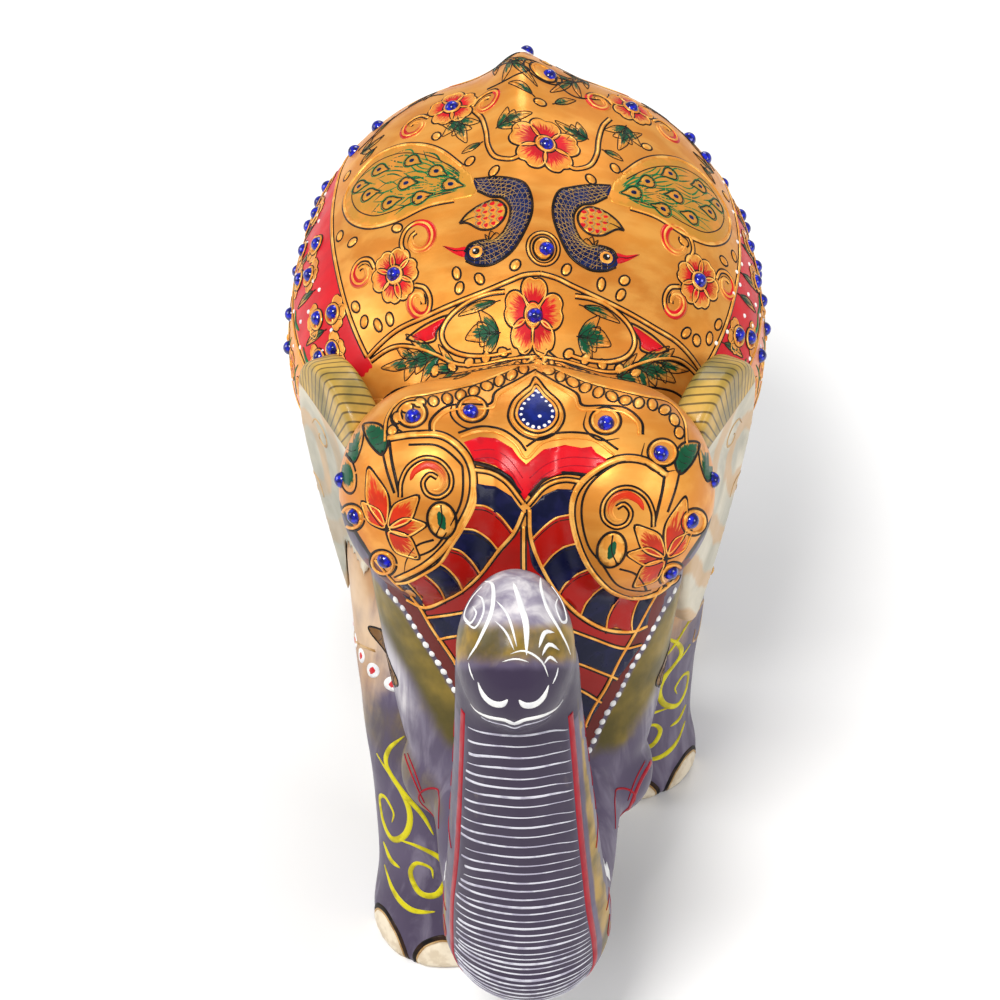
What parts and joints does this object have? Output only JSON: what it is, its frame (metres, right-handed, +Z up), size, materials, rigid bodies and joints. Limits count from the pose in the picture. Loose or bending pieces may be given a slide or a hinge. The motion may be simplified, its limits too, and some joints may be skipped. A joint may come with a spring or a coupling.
{
  "type": "elephant figurine",
  "caption": "Painted carved wooden elephant figurine with a raised trunk and striding legs, a patterned gold back and small glued glass stones; stands on its flat soles.",
  "frame": {"origin": "centre of the overall bounding box in X and Y, on the plane of the soles", "axes": "+Z up, -Y the way the elephant faces, +X the elephant's left"},
  "size_m": [0.132, 0.2454, 0.1926],
  "materials": {
    "body_paint": "satin",
    "head_paint": "satin",
    "trunk_paint": "satin",
    "ear_paint": "satin",
    "tail_paint": "satin",
    "dowel_wood": "raw",
    "blue_glass": "gloss",
    "red_glass": "gloss",
    "yellow_glass": "gloss"
  },
  "bodies": {
    "root": {"body": "body_paint", "head": "head_paint", "trunk": "trunk_paint", "ear_left": "ear_paint", "ear_right": "ear_paint", "tail": "tail_paint", "neck_dowel_left": "dowel_wood", "neck_dowel_right": "dowel_wood", "trunk_dowel": "dowel_wood", "ear_dowel_left": "dowel_wood", "ear_dowel_right": "dowel_wood", "tail_peg": "dowel_wood", "saddle_stones": "blue_glass", "flower_stones": "blue_glass", "band_stones": "blue_glass", "border_stones": "blue_glass", "forehead_stones": "blue_glass", "dome_stones": "blue_glass", "shoulder_stones_blue": "blue_glass", "shoulder_stones_red": "red_glass", "shoulder_stones_yellow": "yellow_glass"}
  },
  "joints": []
}
